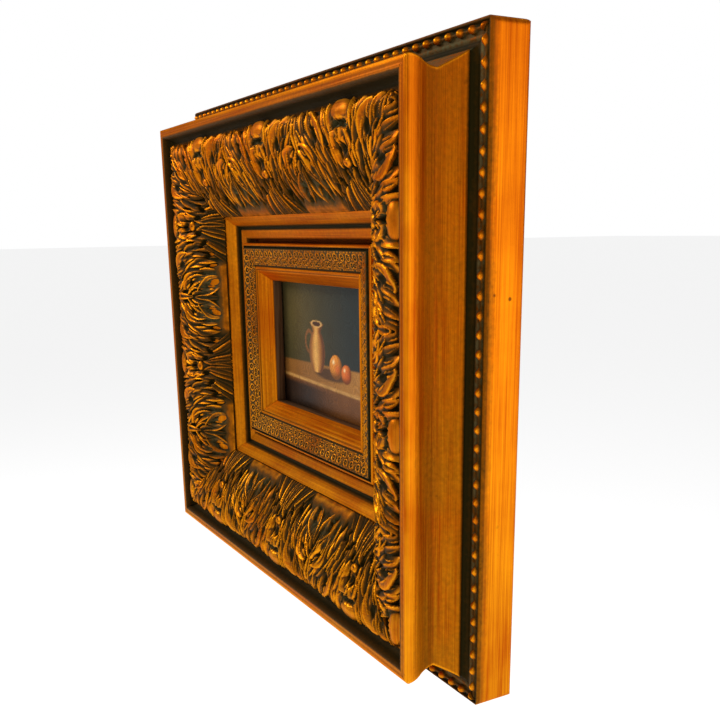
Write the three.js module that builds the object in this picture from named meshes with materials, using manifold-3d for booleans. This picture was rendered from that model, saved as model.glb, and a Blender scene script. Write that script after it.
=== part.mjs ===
// A small oil painting on panel in a deep gilded frame.
//
// The outer frame is four mitred lengths of one moulding: a plain lip, a side that draws in and flares
// out again, a channel with a row of beads, a flat rim, and inside the lip a band of carved acanthus that
// runs down to a plain fillet and a step. A narrow inner frame with a leaf band and a sloping sight edge
// is let in from behind, and the painted panel lies in its rebate.
//
// Millimetres, +Z up, the picture faces -Y. The origin is on the back of the top rail, where it hangs.

import * as THREE from "three";
import { mergeVertices } from "three/addons/utils/BufferGeometryUtils.js";
import Module from "manifold-3d";

const wasm = await Module();
wasm.setup();

// ---------------------------------------------------------------- driving dimensions
// "inward" is measured from the lip's outline towards the picture, "back" from the lip's face to the
// wall.

const LIP_OUTLINE = { width: 292, height: 254 };
const DEPTH = 48;
const MITRE_GAP = 0.3;
const HANG_POINT_INWARD = 25;

const RIM = { reach: 13, front: 28.2, roundness: 2.5, cornerRadius: 3 };
const CHANNEL = { floor: 29.8, from: -11.6, to: -4.3 };
const FLARE_EDGE = { inward: -2.4, back: 26.8 };
const NECK = { inward: 3.6, back: 16.4 };
const LIP = { round: 1.7, width: 5.8 };
const BEAD = { inward: -9.6, halfWidth: 1.8, height: 2.6, spool: 0.3, pitch: 7.74 };

const BAND = { start: [10.8, 6.2], lift: [15.5, -1.2], fall: [36, 4.0], end: [54.5, 20.4], width: 50 };
const REPEAT = 87;
const RIB_HEIGHT = 2.7;
const BIG_LEAF_RIBS = 3;
const SMALL_LEAF_RIBS = 3;
const LEAF_ROWS = 6;
const CARVING_DEPTH = 3;
const FILLET = { from: 55.4, to: 59.8, front: 21.0, back: 26.0 };
const STEP = { from: 61.9, to: 66.6, front: 27.5, back: 28.6, edge: 67.2 };
const OUTER_REBATE = { inward: 60.5, back: 35.5 };

const INNER = { wall: 69.4, front: 24.5, back: 44.4, flange: 61.1, flangeFront: 36 };
const LEAF_BAND = { from: 72.2, to: 82.3, front: 23.6, back: 26.7, height: 0.9, repeat: 7.2 };
const SIGHT = { from: 84.9, front: 27.0, inward: 90.9, back: 33.8 };
const INNER_REBATE = { inward: 87.4, back: 40.6 };
const PANEL = { inward: 87.7, front: 40.9, thickness: 3 };

// ---------------------------------------------------------------- solids

/** Makes a closed three.js geometry a manifold-3d solid. */
function solidOf(geometry) {
  const plain = geometry.clone();
  plain.deleteAttribute("normal");
  plain.deleteAttribute("uv");
  const merged = mergeVertices(plain, 1e-4);
  return new wasm.Manifold(
    new wasm.Mesh({
      numProp: 3,
      vertProperties: new Float32Array(merged.attributes.position.array),
      triVerts: new Uint32Array(merged.index.array),
    })
  );
}

/** Turns a manifold-3d solid back into a three.js geometry with flat faces. */
function geometryOf(solid) {
  const mesh = solid.getMesh();
  const corners = new Float32Array(mesh.triVerts.length * 3);
  mesh.triVerts.forEach((vertex, i) => {
    corners.set(mesh.vertProperties.subarray(vertex * mesh.numProp, vertex * mesh.numProp + 3), i * 3);
  });
  const geometry = new THREE.BufferGeometry();
  geometry.setAttribute("position", new THREE.BufferAttribute(corners, 3));
  geometry.computeVertexNormals();
  return geometry;
}

/**
 * A bar along X with the section that `draw` draws in (inward, back). `reach` is the distance of its lip
 * from the frame's centre.
 */
function moulding(reach, length, draw) {
  const shape = new THREE.Shape();
  const at = (inward, back) => [back - DEPTH, reach - inward];
  draw({
    start: (inward, back) => shape.moveTo(...at(inward, back)),
    line: (inward, back) => shape.lineTo(...at(inward, back)),
    curve: (bend, end) => shape.quadraticCurveTo(...at(...bend), ...at(...end)),
  });
  const bar = new THREE.ExtrudeGeometry(shape, { depth: length, bevelEnabled: false, curveSegments: 3 });
  bar.translate(0, 0, -length / 2);
  const across = new THREE.Vector3(0, 1, 0);
  const up = new THREE.Vector3(0, 0, 1);
  const along = new THREE.Vector3(1, 0, 0);
  bar.applyMatrix4(new THREE.Matrix4().makeBasis(across, up, along));
  return solidOf(bar);
}

/**
 * A slab whose face is a grid of points: `place(column, row)` gives [along, inward, back] on the face and
 * `under(column, row)` the same below it, inside the moulding.
 */
function slab(reach, columns, rows, place, under) {
  const block = new THREE.BoxGeometry(1, 1, 1, columns - 1, 1, rows - 1);
  const position = block.attributes.position;
  for (let i = 0; i < position.count; i++) {
    const column = Math.round((position.getX(i) + 0.5) * (columns - 1));
    const row = Math.round((0.5 - position.getZ(i)) * (rows - 1));
    const [along, inward, back] = (position.getY(i) < 0 ? place : under)(column, row);
    position.setXYZ(i, along, back - DEPTH, reach - inward);
  }
  return solidOf(block);
}

/** What is left of a rail between its two mitres, with the rim's corners rounded. */
function mitred(solid, reach, halfLength, innerEdge) {
  const front = -DEPTH - 5;
  const outer = RIM.reach + 5;
  const gap = MITRE_GAP / Math.SQRT2;
  const wedge = new THREE.Shape([
    new THREE.Vector2(-(halfLength + outer - gap), -(reach + outer)),
    new THREE.Vector2(-(halfLength - innerEdge - gap), -(reach - innerEdge)),
    new THREE.Vector2(halfLength - innerEdge - gap, -(reach - innerEdge)),
    new THREE.Vector2(halfLength + outer - gap, -(reach + outer)),
  ]);
  const halfX = halfLength + RIM.reach;
  const halfZ = reach + RIM.reach;
  const r = RIM.cornerRadius;
  const outline = new THREE.Shape();
  outline.moveTo(-halfX, -halfZ + r);
  outline.lineTo(-halfX, halfZ - r);
  outline.absarc(-halfX + r, halfZ - r, r, Math.PI, Math.PI / 2, true);
  outline.absarc(halfX - r, halfZ - r, r, Math.PI / 2, 0, true);
  outline.absarc(halfX - r, -halfZ + r, r, 0, -Math.PI / 2, true);
  outline.absarc(-halfX + r, -halfZ + r, r, -Math.PI / 2, -Math.PI, true);
  const upright = (shape) => {
    const options = { depth: DEPTH + 10, bevelEnabled: false, curveSegments: 3 };
    const block = new THREE.ExtrudeGeometry(shape, options);
    block.rotateX(-Math.PI / 2);
    block.translate(0, front, 0);
    return solidOf(block);
  };
  return solid.intersect(upright(wedge)).intersect(upright(outline));
}

// ---------------------------------------------------------------- the outer moulding

function drawOuterSection(pen) {
  pen.start(-RIM.reach, RIM.front + 0.6);
  pen.line(-RIM.reach + 0.4, RIM.front);
  pen.line(CHANNEL.from - 0.3, RIM.front + 0.4);
  pen.line(CHANNEL.from, CHANNEL.floor + 0.5);
  pen.line(CHANNEL.to, CHANNEL.floor + 0.5);
  pen.line(FLARE_EDGE.inward, CHANNEL.floor - 1.6);
  pen.line(FLARE_EDGE.inward + 0.7, CHANNEL.floor - 2.2);
  pen.line(FLARE_EDGE.inward, FLARE_EDGE.back);
  pen.curve([0, 23.4], [NECK.inward, NECK.back]);
  pen.curve([3.3, 12.4], [2.0, 9.2]);
  pen.curve([0.2, 5.6], [0, LIP.round]);
  pen.curve([0, 0], [LIP.round, 0]);
  pen.line(LIP.width - 0.6, 0);
  pen.line(LIP.width, 0.6);
  pen.line(LIP.width + 0.6, 4.2);
  pen.curve([LIP.width + 1.2, 7], [BAND.start[0], BAND.start[1] + 0.5]);
  pen.line(16, 4.6);
  pen.line(28, 6.2);
  pen.line(41, 12.4);
  pen.line(BAND.end[0] - 0.4, FILLET.front + 0.2);
  pen.line(FILLET.from, FILLET.front);
  pen.curve([58.1, 22.9], [FILLET.to, FILLET.back]);
  pen.line(FILLET.to + 0.3, STEP.front + 0.4);
  pen.line(STEP.from - 0.3, STEP.front + 0.7);
  pen.line(STEP.from, STEP.front);
  pen.line(STEP.to, STEP.back);
  pen.line(STEP.edge, STEP.back + 0.6);
  pen.line(STEP.edge, OUTER_REBATE.back);
  pen.line(OUTER_REBATE.inward, OUTER_REBATE.back);
  pen.line(OUTER_REBATE.inward, DEPTH);
  pen.line(-RIM.reach + RIM.roundness, DEPTH);
  pen.curve([-RIM.reach, DEPTH], [-RIM.reach, DEPTH - RIM.roundness]);
}

/** The value at `u`, from 0 to 1, along evenly spaced `values`. */
function linearly(values, u) {
  const place = u * (values.length - 1);
  const i = Math.min(Math.floor(place), values.length - 2);
  return THREE.MathUtils.lerp(values[i], values[i + 1], place - i);
}

/** The point of the carved band's ground `across` millimetres from its lip side, and its outward normal. */
function bandGround(across) {
  const curve = new THREE.CubicBezierCurve(
    new THREE.Vector2(...BAND.start),
    new THREE.Vector2(...BAND.lift),
    new THREE.Vector2(...BAND.fall),
    new THREE.Vector2(...BAND.end)
  );
  const u = THREE.MathUtils.clamp(across / BAND.width, 0, 1);
  const point = curve.getPointAt(u);
  const tangent = curve.getTangentAt(u);
  return { point, normal: new THREE.Vector2(tangent.y, -tangent.x) };
}

/**
 * A line that runs along the leaf, on a rib or in a furrow, from its tip by the lip to its root by the
 * fillet. Points are (along, across). The `heights` are spaced evenly, as parts of the rib height.
 */
function leafLine(tip, bend, root, heights) {
  const points = [tip, bend, root].map(([along, across]) => new THREE.Vector2(along, across));
  return { curve: new THREE.QuadraticBezierCurve(...points), heights };
}

/**
 * Half a repeat of the acanthus, from the big leaf's middle to the small leaf's middle. The big leaf's ribs
 * draw together like a sheaf and flare to the lip and to the fillet. The small leaf's ribs fan out between
 * them from a swelling by the fillet, dip once, and rise again to fingertips by the lip. A furrow follows
 * each rib, half a step on.
 */
function halfRepeat() {
  const bigRib = [1, 0.95, 0.75, 0.5, 0.45, 0.6, 0.5];
  const smallRib = [0.8, 0.7, 0.1, 0.8, 0.85, 0.65, 0.5];
  const furrow = [-0.3, -0.2, -0.3, -0.25, -0.3, -0.3, -0.1];
  const turnedTip = [1.1, 0.2, -0.3, 0, 0.4, 0.6, 0.4];
  const bud = [0.2, 0.6, 0, 0.9, 0.8, 0.9, 0.7];
  const middle = REPEAT / 2;
  const lines = [leafLine([0, 6], [0, 30], [0, 49], turnedTip)];
  for (let rib = 0; rib < BIG_LEAF_RIBS; rib += 0.5) {
    const tip = [6.5 + 5.6 * rib, 8.5 + 3.8 * rib];
    const bend = [1 + 3.8 * rib, 28];
    const root = [6.5 + 8 * rib, 49];
    lines.push(leafLine(tip, bend, root, Number.isInteger(rib) ? bigRib : furrow));
  }
  for (let rib = 0; rib < SMALL_LEAF_RIBS; rib += 0.5) {
    const tip = [24 + 6.5 * rib, 13 - 2.4 * rib];
    const bend = [17.5 + 8.2 * rib, 26];
    const root = [30 + 4.4 * rib, 49];
    lines.push(leafLine(tip, bend, root, Number.isInteger(rib) ? smallRib : furrow));
  }
  lines.push(leafLine([middle, 6], [middle, 28], [middle, 49], bud));
  return lines;
}

/**
 * The carved band over a long stretch of moulding, with a big leaf centred at `phase`. Its first and last
 * two rows are straight: one on the ground at the foot of the carving, one sunk under it.
 */
function carvedBand(reach, length, phase) {
  const half = halfRepeat();
  const repeats = Math.ceil(length / REPEAT / 2);
  const columns = [];
  for (let n = -repeats; n <= repeats; n++) {
    for (let j = 1 - half.length; j < half.length - 1; j++) {
      columns.push({ line: half[Math.abs(j)], side: Math.sign(j), middle: phase + n * REPEAT });
    }
  }
  const last = LEAF_ROWS + 3;
  const place = (column, row, sink) => {
    const { line, side, middle } = columns[column];
    const u = THREE.MathUtils.clamp((row - 2) / (LEAF_ROWS - 1), 0, 1);
    const flat = line.curve.getPoint(u);
    let rise = linearly(line.heights, u) * RIB_HEIGHT;
    if (row < 2 || row > last - 2) {
      flat.y = row < 2 ? 1.5 * row : BAND.width;
      rise = 0;
    }
    const { point, normal } = bandGround(flat.y);
    point.addScaledVector(normal, sink ? -CARVING_DEPTH : rise);
    if (row === 0 || row === last) {
      point.addScaledVector(normal, sink ? 0 : -1.5);
    }
    return [middle + side * flat.x, point.x, point.y];
  };
  return slab(
    reach,
    columns.length,
    last + 1,
    (column, row) => place(column, row, false),
    (column, row) => place(column, row, true)
  );
}

/** The channel's floor with its beads: a low round strip that swells at each bead and sinks after it. */
function beadRow(reach, length) {
  const beads = Math.ceil(length / BEAD.pitch / 2);
  const across = [-1, -0.5, 0.5, 1];
  const last = across.length + 1;
  const place = (column, row) => {
    const along = (column / 2 - beads) * BEAD.pitch;
    if (row === 0 || row === last) {
      return [along, row === 0 ? CHANNEL.from - 0.4 : CHANNEL.to + 1, CHANNEL.floor];
    }
    const swell = column % 2 === 0 ? 1 : BEAD.spool;
    const inward = BEAD.inward + across[row - 1] * BEAD.halfWidth * (0.6 + 0.4 * swell);
    return [along, inward, CHANNEL.floor - BEAD.height * swell * Math.sqrt(1 - across[row - 1] ** 2)];
  };
  const under = (column, row) => {
    const [along, inward] = place(column, row);
    return [along, inward, CHANNEL.floor + 1.5];
  };
  return slab(reach, 4 * beads + 1, last + 1, place, under);
}

/** One mitred length of the outer moulding, centred on X, its lip `reach` from the frame's centre. */
function outerRail(reach, halfLength, phase) {
  const length = 2 * (halfLength + RIM.reach + 12);
  const blank = moulding(reach, length, drawOuterSection)
    .add(carvedBand(reach, length, phase))
    .add(beadRow(reach, length));
  return geometryOf(mitred(blank, reach, halfLength, 70));
}

// ---------------------------------------------------------------- the inner moulding

function drawInnerSection(pen) {
  pen.start(INNER.wall, INNER.flangeFront);
  pen.line(INNER.wall, INNER.front + 0.9);
  pen.line(INNER.wall + 0.8, INNER.front);
  pen.line(LEAF_BAND.from - 1, INNER.front + 0.2);
  pen.line(LEAF_BAND.from - 0.6, INNER.front + 1.2);
  pen.line(LEAF_BAND.from, LEAF_BAND.front + 0.6);
  pen.line(LEAF_BAND.to, LEAF_BAND.back + 0.6);
  pen.line(SIGHT.from - 2.1, SIGHT.front - 0.7);
  pen.line(SIGHT.from - 0.7, SIGHT.front - 0.6);
  pen.line(SIGHT.from, SIGHT.front);
  pen.line(SIGHT.inward, SIGHT.back);
  pen.line(SIGHT.inward, INNER_REBATE.back);
  pen.line(INNER_REBATE.inward, INNER_REBATE.back);
  pen.line(INNER_REBATE.inward, INNER.back);
  pen.line(INNER.flange, INNER.back);
  pen.line(INNER.flange, INNER.flangeFront);
}

/** The narrow leaf band: small bent leaves from the outer edge to the sight edge, with furrows between. */
function leafBand(reach, length) {
  const count = 2 * Math.ceil(length / LEAF_BAND.repeat / 2) + 1;
  const rows = 4;
  const place = (column, row) => {
    const middle = (count * 2 - 1) / 2;
    const u = row / (rows - 1);
    const ridge = column % 2 === 0 ? 1 : 0.1;
    const height = row === 0 || row === rows - 1 ? 0.1 : LEAF_BAND.height * ridge;
    const along = ((column - middle) * LEAF_BAND.repeat) / 2 + 1.2 * Math.sin(Math.PI * u);
    const inward = THREE.MathUtils.lerp(LEAF_BAND.from, LEAF_BAND.to, u);
    return [along, inward, THREE.MathUtils.lerp(LEAF_BAND.front, LEAF_BAND.back, u) + 0.4 - height];
  };
  const under = (column, row) => {
    const [along, inward, back] = place(column, row);
    return [along, inward, back + 2.5];
  };
  return slab(reach, count * 2, rows, place, under);
}

/** One mitred length of the inner moulding. */
function innerRail(reach, halfLength) {
  const length = 2 * (halfLength - INNER.flange + 6);
  const blank = moulding(reach, length, drawInnerSection).add(leafBand(reach, length));
  return geometryOf(mitred(blank, reach, halfLength, SIGHT.inward + 3));
}

// ---------------------------------------------------------------- the picture

function paintedPanel() {
  const width = LIP_OUTLINE.width - 2 * PANEL.inward;
  const height = LIP_OUTLINE.height - 2 * PANEL.inward;
  const panel = new THREE.BoxGeometry(width, PANEL.thickness, height);
  panel.translate(0, PANEL.front + PANEL.thickness / 2 - DEPTH, 0);
  return panel;
}

// ---------------------------------------------------------------- the scene graph

const gilding = new THREE.MeshStandardMaterial({ color: 0xc47a12, roughness: 0.38, metalness: 0.75 });
const innerGilding = new THREE.MeshStandardMaterial({ color: 0xb86f14, roughness: 0.42, metalness: 0.7 });
const paint = new THREE.MeshStandardMaterial({ color: 0x4a3418, roughness: 0.35, metalness: 0 });

const sides = [
  { side: "top", turn: 0, across: LIP_OUTLINE.height, along: LIP_OUTLINE.width, phase: 0 },
  { side: "bottom", turn: Math.PI, across: LIP_OUTLINE.height, along: LIP_OUTLINE.width, phase: 0 },
  { side: "left", turn: -Math.PI / 2, across: LIP_OUTLINE.width, along: LIP_OUTLINE.height, phase: -19 },
  { side: "right", turn: Math.PI / 2, across: LIP_OUTLINE.width, along: LIP_OUTLINE.height, phase: 19 },
];

const frame = new THREE.Group();
frame.position.z = -(LIP_OUTLINE.height / 2 - HANG_POINT_INWARD);

for (const { side, turn, across, along, phase } of sides) {
  const outer = new THREE.Mesh(outerRail(across / 2, along / 2, phase), gilding);
  outer.name = `outer_rail_${side}`;
  outer.rotation.y = turn;
  frame.add(outer);

  const inner = new THREE.Mesh(innerRail(across / 2, along / 2), innerGilding);
  inner.name = `inner_rail_${side}`;
  inner.rotation.y = turn;
  frame.add(inner);
}

const panel = new THREE.Mesh(paintedPanel(), paint);
panel.name = "painted_panel";
frame.add(panel);

export default frame;
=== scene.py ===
# %% [markdown]
# # A small oil painting in a carved and gilded frame
#
# The object is one panel painting, hardly bigger than a playing card, in a frame that is much larger
# than the picture: a deep outer moulding carved with acanthus leaves, and a narrow inner frame around the
# picture itself. It hangs on a wall, so there is nothing under it and nothing moves.
#
# The CAD model already has every length of moulding with its true outline. What it can't have is the fine
# carving, because its solids are kept to a few thousand faces. Here each rail is made again from the same
# named sizes, with a hundred times the detail, and takes the place of its CAD node.

# %% Load the frame
import math

import bpy
import numpy as np
from mathutils import Matrix, Vector


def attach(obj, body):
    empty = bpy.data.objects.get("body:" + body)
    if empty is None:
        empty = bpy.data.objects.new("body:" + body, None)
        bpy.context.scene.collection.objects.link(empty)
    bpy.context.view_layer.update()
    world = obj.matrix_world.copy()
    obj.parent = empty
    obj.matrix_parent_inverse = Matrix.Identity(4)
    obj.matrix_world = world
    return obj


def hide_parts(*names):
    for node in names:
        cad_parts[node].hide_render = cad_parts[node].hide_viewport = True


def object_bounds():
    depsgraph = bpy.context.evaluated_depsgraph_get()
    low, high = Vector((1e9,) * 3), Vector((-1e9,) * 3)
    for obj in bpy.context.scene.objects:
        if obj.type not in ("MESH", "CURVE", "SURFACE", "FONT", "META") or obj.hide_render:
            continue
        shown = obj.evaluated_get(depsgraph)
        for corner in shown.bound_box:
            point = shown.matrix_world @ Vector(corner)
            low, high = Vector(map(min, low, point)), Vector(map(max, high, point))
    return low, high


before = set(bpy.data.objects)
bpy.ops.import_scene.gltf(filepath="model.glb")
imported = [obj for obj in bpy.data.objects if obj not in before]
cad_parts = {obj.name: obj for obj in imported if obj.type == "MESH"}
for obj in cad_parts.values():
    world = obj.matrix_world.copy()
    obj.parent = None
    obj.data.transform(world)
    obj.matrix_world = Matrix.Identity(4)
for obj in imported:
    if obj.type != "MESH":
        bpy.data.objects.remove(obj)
cad_low, cad_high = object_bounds()
print("CAD box in metres:", tuple(cad_low), tuple(cad_high))

# %% [markdown]
# ## The sizes of the moulding
#
# A frame maker describes a moulding by its section. Two measures are enough to place any point of it:
# how far it lies inward from the outline of the lip, and how far back it lies from the lip's face. All
# sizes below are in millimetres, and the outline is read from the CAD box.

# %% Driving dimensions
MM = 0.001
RIM_REACH = 13.0
DEPTH = (cad_high.y - cad_low.y) / MM
LIP_HALF_WIDTH = (cad_high.x - cad_low.x) / MM / 2 - RIM_REACH
LIP_HALF_HEIGHT = (cad_high.z - cad_low.z) / MM / 2 - RIM_REACH
CENTRE_Z = (cad_high.z + cad_low.z) / MM / 2
MITRE_GAP = 0.05
RIM_CORNER_RADIUS = 3.0

BEAD_PITCH = 7.74
CHANNEL_FLOOR = 29.8
BAND_WIDTH = 50.0
REPEAT = 87.0
print(f"lip outline {2 * LIP_HALF_WIDTH:.0f} x {2 * LIP_HALF_HEIGHT:.0f} mm, depth {DEPTH:.0f} mm")

# %% [markdown]
# ## Drawing a section row by row
#
# The mesh of a rail is a grid: its rows run along the rail and its columns run around the section. So the
# section is a list of points, close together where the form is fine and far apart on a flat. Two helpers
# draw it, one for straight runs and one for the round members, which a maker cuts with a hollow or a round
# plane and which a quadratic curve follows well.

# %% Helpers for a section


def straight(points, rows):
    """Rows evenly spaced along a polyline of (inward, back) points, without its last point."""
    points = np.array(points, float)
    lengths = np.concatenate([[0], np.cumsum(np.hypot(*np.diff(points, axis=0).T))])
    at = np.linspace(0, lengths[-1], rows, endpoint=False)
    return np.stack([np.interp(at, lengths, points[:, k]) for k in (0, 1)], 1)


def bow(start, bend, end, rows):
    """Rows on the curve (1-t)^2 start + 2t(1-t) bend + t^2 end, without its last point."""
    t = np.linspace(0, 1, rows, endpoint=False)[:, None]
    return (1 - t) ** 2 * np.array(start) + 2 * t * (1 - t) * np.array(bend) + t**2 * np.array(end)


def joined(members):
    """The members' rows in one array, and the rows that each member takes, by name."""
    spans = {}
    first = 0
    for name, rows in members:
        spans[name] = slice(first, first + len(rows))
        first += len(rows)
    return np.concatenate([rows for _, rows in members]), spans


# %% [markdown]
# ## The ground of the carved band
#
# The leaves lie on a wide swelling member: it rises quickly behind the lip's groove, stays near the front
# for a third of its width, and then falls away to the fillet. A cubic curve gives that lopsided swell. It
# is measured by its own length, so that a leaf keeps its size wherever it lies, and its normal says which
# way the carving stands out.

# %% The band's ground
BAND_CURVE = np.array([[10.8, 6.2], [15.5, -1.2], [36.0, 4.0], [54.5, 20.4]])


def band_ground(rows):
    """Points and outward normals at even steps along a cubic Bezier curve, both as (inward, back)."""
    t = np.linspace(0, 1, 600)[:, None]
    weights = np.concatenate([(1 - t) ** 3, 3 * t * (1 - t) ** 2, 3 * t**2 * (1 - t), t**3], 1)
    curve = weights @ BAND_CURVE
    length = np.concatenate([[0], np.cumsum(np.hypot(*np.diff(curve, axis=0).T))])
    at = np.linspace(0, length[-1], rows)
    points = np.stack([np.interp(at, length, curve[:, k]) for k in (0, 1)], 1)
    slope = np.gradient(points, axis=0)
    slope /= np.hypot(*slope.T)[:, None]
    return points, np.stack([slope[:, 1], -slope[:, 0]], 1)


BAND_ROWS = 140
band_points, band_normals = band_ground(BAND_ROWS)
print(f"the carved band comes to {band_points[:, 1].min():.1f} mm behind the lip's face")

# %% The outer section
outer_rows, outer_spans = joined([
    ("back", straight([(60.5, 48), (20, 48), (-10.5, 48)], 6)),
    ("heel", bow((-10.5, 48), (-13, 48), (-13, 45.5), 5)),
    ("side", straight([(-13, 45.5), (-13, 30.6)], 8)),
    ("rim", bow((-13, 30.6), (-13, 28.7), (-11.8, 28.7), 7)),
    ("channel_wall", bow((-11.8, 28.7), (-11.4, 28.7), (-11.3, 29.8), 3)),
    ("channel", straight([(-11.2, 29.8), (-7.6, 29.8)], 4)),
    ("dust_line", bow((-7.2, 29.8), (-6.3, 29.3), (-5.4, 29.8), 5)),
    ("channel_end", straight([(-5.2, 29.8), (-4.5, 29.8)], 2)),
    ("stripe", bow((-4.5, 29.8), (-3.4, 29.6), (-2.8, 28.2), 4)),
    ("notch", bow((-2.8, 28.2), (-1.6, 27.4), (-2.4, 26.8), 4)),
    ("flare", bow((-2.4, 26.8), (0.0, 23.4), (3.6, 16.4), 9)),
    ("neck", bow((3.6, 16.4), (3.3, 12.4), (2.0, 9.2), 6)),
    ("brow", bow((2.0, 9.2), (0.2, 5.6), (0.0, 1.7), 6)),
    ("lip_edge", bow((0.0, 1.7), (0.0, 0.0), (1.7, 0.0), 6)),
    ("lip", straight([(1.7, 0.0), (2.7, 0.02), (3.0, 0.3), (3.3, 0.02), (5.0, 0.0)], 9)),
    ("lip_back", bow((5.0, 0.0), (5.9, 0.1), (6.2, 3.0), 5)),
    ("groove", bow((6.2, 3.0), (6.6, 7.4), (10.6, 6.7), 8)),
    ("band", straight([(10.6, 8.0), (16.0, 5.4), (28.0, 6.8), (42.0, 12.8), (54.2, 21.8)], 9)),
    ("fillet", bow((55.0, 20.8), (58.1, 22.6), (59.8, 26.0), 9)),
    ("gutter", straight([(59.8, 26.0), (60.3, 28.0), (61.4, 28.2), (61.9, 27.3)], 6)),
    ("step", straight([(61.9, 27.3), (66.6, 28.5)], 16)),
    ("inner_wall", straight([(66.9, 28.9), (67.2, 29.4), (67.2, 35.5)], 4)),
    ("rebate", straight([(67.2, 35.5), (60.5, 35.5), (60.5, 48)], 5)),
])
print(len(outer_rows), "rows around the outer moulding")

# %% [markdown]
# ## Acanthus from single blades
#
# The acanthus leaf is the oldest running ornament there is. A carver builds it from blades: long pointed
# strokes that start low, swell and rise, and lie over one another like feathers, each with one sharp edge
# and a scoop beside it. One function makes a blade along a curve, and a leaf is the highest of all its
# blades at each place, with hollows sunk between them.
#
# Sculpting this by hand would give a livelier surface, but it would be one surface only. As a function it
# can be asked for any point of any rail, and it repeats exactly, as a moulding's ornament does.

# %% A blade of the leaf
STATIONS = np.linspace(0, 1, 9)
BLADE_GIRTH = np.array([0.50, 0.68, 0.84, 0.95, 1.0, 0.95, 0.80, 0.55, 0.16])
LOBE_GIRTH = np.array([0.35, 0.5, 0.68, 0.84, 0.95, 1.0, 1.0, 0.9, 0.55])
BLADE_RISE = np.array([0.15, 0.42, 0.62, 0.76, 0.87, 0.95, 1.0, 1.02, 0.9])
BELOW = -9.0


def along_curve(tip, bend, root, u):
    """Points of the curve (1-u)^2 tip + 2u(1-u) bend + u^2 root."""
    u = np.asarray(u, float)[:, None]
    return (1 - u) ** 2 * np.array(tip) + 2 * u * (1 - u) * np.array(bend) + u**2 * np.array(root)


def blade(x, y, path, girth, rise, lean, girths=BLADE_GIRTH):
    """
    Height of a blade along `path`, which runs from root to tip. With v the signed distance from the path
    over the half-width, the section is rise * (0.3 + 0.7 w^1.6), where w = (1 + v)/2 or (1 - v)/2 for a
    blade that leans to one side, and |v| for one with two raised edges. It falls off steeply at |v| = 1.
    """
    width = girth * girths
    reach = width.max() + 0.3
    low, high = path.min(0) - reach, path.max(0) + reach
    near = (x > low[0]) & (x < high[0]) & (y > low[1]) & (y < high[1])
    height = np.full(x.shape, BELOW)
    if not near.any():
        return height
    px, py = x[near], y[near]
    best = np.full(px.shape, 1e9)
    station = np.zeros(px.shape)
    side = np.ones(px.shape)
    for i, (a, b) in enumerate(zip(path[:-1], path[1:])):
        run = b - a
        q = np.clip(((px - a[0]) * run[0] + (py - a[1]) * run[1]) / max(run @ run, 1e-9), 0, 1)
        ex, ey = px - a[0] - q * run[0], py - a[1] - q * run[1]
        distance = np.hypot(ex, ey)
        closer = distance < best
        best = np.where(closer, distance, best)
        station = np.where(closer, (i + q) / (len(path) - 1), station)
        side = np.where(closer, np.sign(run[0] * ey - run[1] * ex), side)
    v = best / np.interp(station, STATIONS, width) * side
    w = np.abs(v) if lean == 0 else (1 + lean * v) / 2
    section = (0.3 + 0.7 * np.clip(w, 0, 1) ** 1.6) * np.clip((1 - np.abs(v)) / 0.22, 0, 1) ** 0.6
    height[near] = np.where(np.abs(v) < 1, rise * np.interp(station, STATIONS, BLADE_RISE) * section, BELOW)
    return height


def knob(x, y, centre, radii, rise, dimple=0.0):
    """A round knob, rise * sqrt(1 - r^2), with a dimple of Gaussian shape in its middle."""
    r = np.hypot((x - centre[0]) / radii[0], (y - centre[1]) / radii[1])
    dome = rise * np.sqrt(np.clip(1 - r * r, 0, 1)) - dimple * rise * np.exp(-((r / 0.4) ** 2))
    return np.where(r < 1, dome, BELOW)


def pit(x, y, centre, radii, depth, turn=0.0):
    """A pit with a flat bottom and soft sides, depth * exp(-r^4), its long axis turned by `turn`."""
    dx, dy = x - centre[0], y - centre[1]
    across, down = dx * math.cos(turn) + dy * math.sin(turn), dy * math.cos(turn) - dx * math.sin(turn)
    return depth * np.exp(-(np.hypot(across / radii[0], down / radii[1]) ** 4))


# %% The leaves of one repeat


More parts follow.
